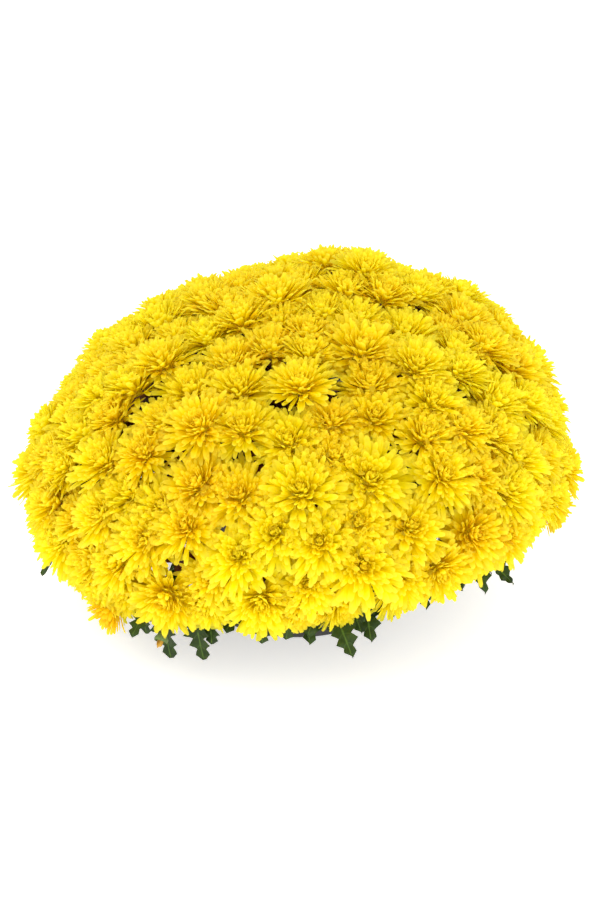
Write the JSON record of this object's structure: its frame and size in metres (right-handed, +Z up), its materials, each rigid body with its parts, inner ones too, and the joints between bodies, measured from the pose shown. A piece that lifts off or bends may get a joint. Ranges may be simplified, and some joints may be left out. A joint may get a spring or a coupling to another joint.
{
  "type": "potted chrysanthemum",
  "caption": "Low mound of double yellow blooms on branching stems, with lobed leaves hanging below its edge, growing in a plain round nursery pan.",
  "frame": {"origin": "middle of the pot's flat underside", "axes": "+Z up along the pot's axis, -Y towards the side that the picture shows, +X to its right"},
  "size_m": [0.4171, 0.4118, 0.2693],
  "materials": {
    "pot": "matt moulded plastic",
    "soil": "moist peat and bark mix",
    "stems": "ribbed green stem, woody at the foot",
    "leaves": "dull dark leaf with pale veins",
    "petals": "satin petal, paler at the tip",
    "opening_petals": "satin petal, still folded",
    "buds": "tight bud with green sepals"
  },
  "bodies": {
    "root": {"nursery_pot": "pot", "main_stem_1": "stems", "main_stem_2": "stems", "main_stem_3": "stems", "main_stem_4": "stems", "main_stem_5": "stems", "potting_soil": "soil", "half_open_bloom_right": "opening_petals", "half_open_bloom_front_left": "opening_petals", "half_open_bloom_back": "opening_petals", "flower_bud_front_left": "buds", "flower_bud_back_right": "buds", "bloom_spray_crown": "petals", "bloom_spray_lower_back": "petals", "bloom_spray_lower_back_left": "petals", "bloom_spray_lower_back_right": "petals", "bloom_spray_lower_front": "petals", "bloom_spray_lower_front_left": "petals", "bloom_spray_lower_front_right": "petals", "bloom_spray_lower_left": "petals", "bloom_spray_lower_right": "petals", "bloom_spray_middle_back": "petals", "bloom_spray_middle_back_left": "petals", "bloom_spray_middle_back_right": "petals", "bloom_spray_middle_front": "petals", "bloom_spray_middle_front_left": "petals", "bloom_spray_middle_front_right": "petals", "bloom_spray_middle_left": "petals", "bloom_spray_middle_right": "petals", "bloom_spray_skirt_back": "petals", "bloom_spray_skirt_back_left": "petals", "bloom_spray_skirt_back_right": "petals", "bloom_spray_skirt_front": "petals", "bloom_spray_skirt_front_left": "petals", "bloom_spray_skirt_front_right": "petals", "bloom_spray_skirt_left": "petals", "bloom_spray_skirt_right": "petals", "bloom_spray_upper_back": "petals", "bloom_spray_upper_front": "petals", "bloom_spray_upper_left": "petals", "bloom_spray_upper_right": "petals", "leafy_shoot_front": "leaves", "leafy_shoot_front_right": "leaves", "leafy_shoot_right": "leaves", "leafy_shoot_back_right": "leaves", "leafy_shoot_back": "leaves", "leafy_shoot_back_left": "leaves", "leafy_shoot_left": "leaves", "leafy_shoot_front_left": "leaves"}
  },
  "joints": []
}
